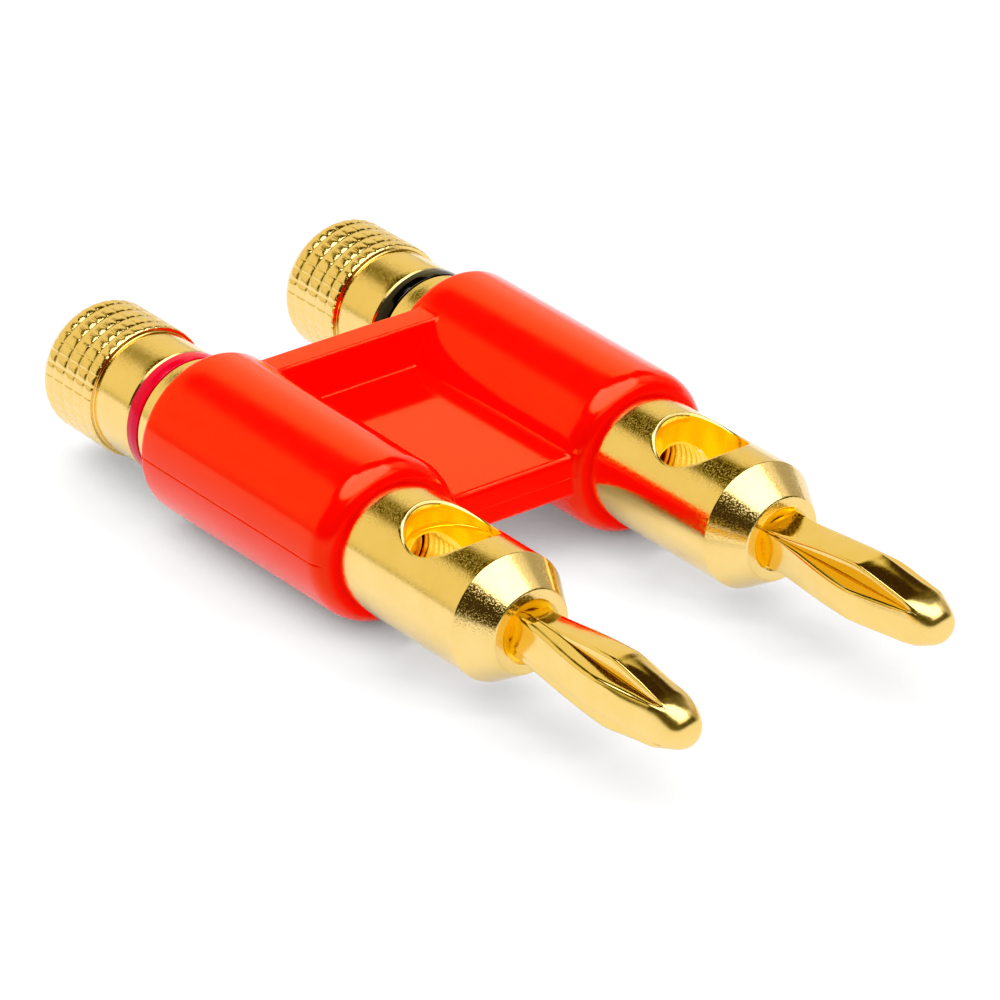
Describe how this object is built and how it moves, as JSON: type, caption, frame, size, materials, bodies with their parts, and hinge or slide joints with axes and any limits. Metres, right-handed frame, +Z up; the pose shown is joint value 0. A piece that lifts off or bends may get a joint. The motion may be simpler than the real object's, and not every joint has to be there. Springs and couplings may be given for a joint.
{
  "type": "banana plug",
  "caption": "Banana plugs side by side in a shared moulded housing, with gold-plated spring pins, cross holes for bare wire and rear thumbscrews with polarity rings that clamp the wire.",
  "frame": {"origin": "centre of the bounding box's bottom face, with the plug lying on its two barrels", "axes": "+X along the plugs towards the tips of the pins, +Y from the near plug to the far plug, +Z up"},
  "size_m": [0.0613, 0.0298, 0.0108],
  "materials": {
    "housing_plastic": "glossy moulded red-orange plastic",
    "gold_plate": "gold plating over turned brass with a fine satin grain",
    "gold_polished": "bright gold plating over formed brass leaves",
    "ring_crimson": "glossy crimson plastic",
    "ring_black": "glossy black plastic"
  },
  "bodies": {
    "plug": {"housing": "housing_plastic", "near_plug_body": "gold_plate", "far_plug_body": "gold_plate", "near_spring_contact": "gold_polished", "far_spring_contact": "gold_polished"},
    "near_ring": {"near_polarity_ring": "ring_crimson"},
    "near_screw": {"near_thumbscrew": "gold_plate"},
    "far_ring": {"far_polarity_ring": "ring_black"},
    "far_screw": {"far_thumbscrew": "gold_plate"}
  },
  "joints": [
    {"name": "near_screw_travel", "type": "slide", "parent": "plug", "child": "near_ring", "axis": [1, 0, 0], "range_m": [-0.006, 0.0063]},
    {"name": "near_screw_turn", "type": "hinge", "parent": "near_ring", "child": "near_screw", "pos_m": [-0.0244, -0.00953, 0.0054], "axis": [1, 0, 0], "range_deg": [-4320.5, 4536.5]},
    {"name": "far_screw_travel", "type": "slide", "parent": "plug", "child": "far_ring", "axis": [1, 0, 0], "range_m": [-0.0056, 0.0067]},
    {"name": "far_screw_turn", "type": "hinge", "parent": "far_ring", "child": "far_screw", "pos_m": [-0.0248, 0.00953, 0.0054], "axis": [1, 0, 0], "range_deg": [-4032.5, 4824.5]}
  ],
  "couplings": [
    {"joint": "near_screw_turn", "follows": "near_screw_travel", "rad_per_m": 12566},
    {"joint": "far_screw_turn", "follows": "far_screw_travel", "rad_per_m": 12566}
  ]
}
